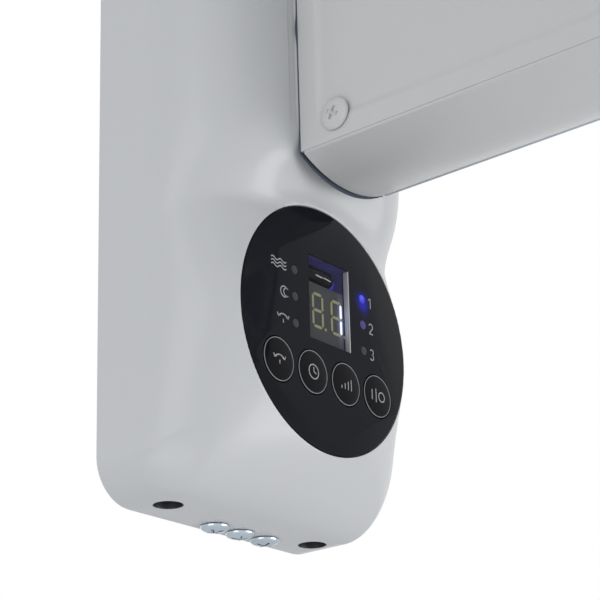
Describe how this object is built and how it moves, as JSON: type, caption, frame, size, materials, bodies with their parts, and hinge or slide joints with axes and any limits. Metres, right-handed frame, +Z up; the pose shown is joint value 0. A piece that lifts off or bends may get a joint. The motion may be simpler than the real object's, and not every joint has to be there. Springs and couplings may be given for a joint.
{
  "type": "wall mounted fan",
  "caption": "Wall mounted fan with a moulded wall housing and round control panel, a sheet steel arm and a tilting, swinging head with blades inside wire guards.",
  "frame": {"origin": "middle of the wall bracket's back face, on the wall", "axes": "+Z up, +Y into the wall, the fan blows along -Y, +X to the right when looking at the wall"},
  "size_m": [0.4424, 0.3386, 0.5134],
  "materials": {
    "zinc": "zinc plated steel",
    "white_plastic": "white moulded plastic, slightly glossy",
    "white_paint": "white powder coat on steel",
    "steel": "bare steel",
    "gloss_black": "high gloss black",
    "smoked_lens": "clear smoked window",
    "grey_plastic": "grey display face",
    "black_plastic": "black plastic",
    "light_plastic": "translucent light guide",
    "board_green": "circuit board",
    "copper": "laminations and varnished windings",
    "pale_plastic": "pale plastic",
    "aluminium": "die cast aluminium"
  },
  "bodies": {
    "wall_unit": {"wall_bracket": "zinc", "housing_back": "white_plastic", "housing_shell": "white_plastic", "support_frame": "steel", "control_panel": "gloss_black", "display_window": "smoked_lens", "display_module": "grey_plastic", "receiver": "black_plastic", "light_guide_left": "light_plastic", "light_guide_right": "light_plastic", "control_board": "board_green", "power_board": "board_green", "transformer": "copper", "motor_capacitor": "black_plastic", "terminal_block": "pale_plastic", "floor_screw_1": "zinc", "floor_screw_2": "zinc", "floor_screw_3": "zinc", "arm_channel": "white_paint", "arm_floor_cover": "white_paint", "arm_bolt_1": "zinc", "arm_bolt_2": "zinc", "arm_bolt_3": "zinc", "arm_bolt_4": "zinc", "arm_screw_1": "white_paint", "arm_screw_2": "white_paint", "arm_screw_3": "white_paint", "arm_screw_4": "white_paint", "arm_saddle": "white_paint", "saddle_bolt_1": "zinc", "saddle_bolt_2": "zinc", "tilt_bolt": "zinc"},
    "neck": {"neck": "white_paint", "swing_retainer": "steel"},
    "head": {"swing_bracket": "aluminium", "swing_motor": "steel", "motor_rear_cover": "white_plastic", "motor_rear_shield": "aluminium", "motor_front_shield": "aluminium", "stator": "copper", "bearing_front": "steel", "bearing_rear": "steel", "rear_guard": "white_paint", "guard_nut": "white_plastic", "front_guard": "white_paint", "guard_cap": "white_plastic", "rim_band": "white_plastic", "rim_screw": "zinc", "rim_nut": "zinc"},
    "rotor": {"rotor_shaft": "steel", "impeller": "white_plastic", "spinner": "white_plastic"},
    "crank": {"crank": "black_plastic"},
    "link": {"link_rod": "steel"},
    "tilt_knob": {"tilt_knob": "black_plastic"},
    "button_osc": {"button_osc": "gloss_black"},
    "button_timer": {"button_timer": "gloss_black"},
    "button_speed": {"button_speed": "gloss_black"},
    "button_on_off": {"button_on_off": "gloss_black"}
  },
  "joints": [
    {"name": "press_osc", "type": "slide", "parent": "wall_unit", "child": "button_osc", "axis": [0, 1, 0], "range_m": [0, 0.0008], "stiffness_N_per_m": 1500, "springref_m": -0.0004},
    {"name": "press_timer", "type": "slide", "parent": "wall_unit", "child": "button_timer", "axis": [0, 1, 0], "range_m": [0, 0.0008], "stiffness_N_per_m": 1500, "springref_m": -0.0004},
    {"name": "press_speed", "type": "slide", "parent": "wall_unit", "child": "button_speed", "axis": [0, 1, 0], "range_m": [0, 0.0008], "stiffness_N_per_m": 1500, "springref_m": -0.0004},
    {"name": "press_on_off", "type": "slide", "parent": "wall_unit", "child": "button_on_off", "axis": [0, 1, 0], "range_m": [0, 0.0008], "stiffness_N_per_m": 1500, "springref_m": -0.0004},
    {"name": "tilt", "type": "hinge", "parent": "wall_unit", "child": "neck", "pos_m": [0, -0.172, 0.045], "axis": [1, 0, 0], "range_deg": [-10, 20]},
    {"name": "tilt_knob_turn", "type": "hinge", "parent": "wall_unit", "child": "tilt_knob", "pos_m": [0, -0.172, 0.045], "axis": [1, 0, 0], "range_deg": [0, 360]},
    {"name": "swing", "type": "hinge", "parent": "neck", "child": "head", "pos_m": [0, -0.172, 0.071], "axis": [0, 0, 1], "range_deg": [-35, 35]},
    {"name": "link_turn", "type": "hinge", "parent": "neck", "child": "link", "pos_m": [0.022, -0.172, 0.072], "axis": [0, 0, 1], "range_deg": [-32, 32]},
    {"name": "crank_turn", "type": "hinge", "parent": "head", "child": "crank", "pos_m": [0, -0.128, 0.078], "axis": [0, 0, 1], "continuous": true},
    {"name": "fan_spin", "type": "hinge", "parent": "head", "child": "rotor", "pos_m": [0, -0.262, 0.155], "axis": [0, 1, 0], "continuous": true}
  ],
  "couplings": [
    {"joint": "link_turn", "follows": "swing", "ratio": 0.87}
  ]
}
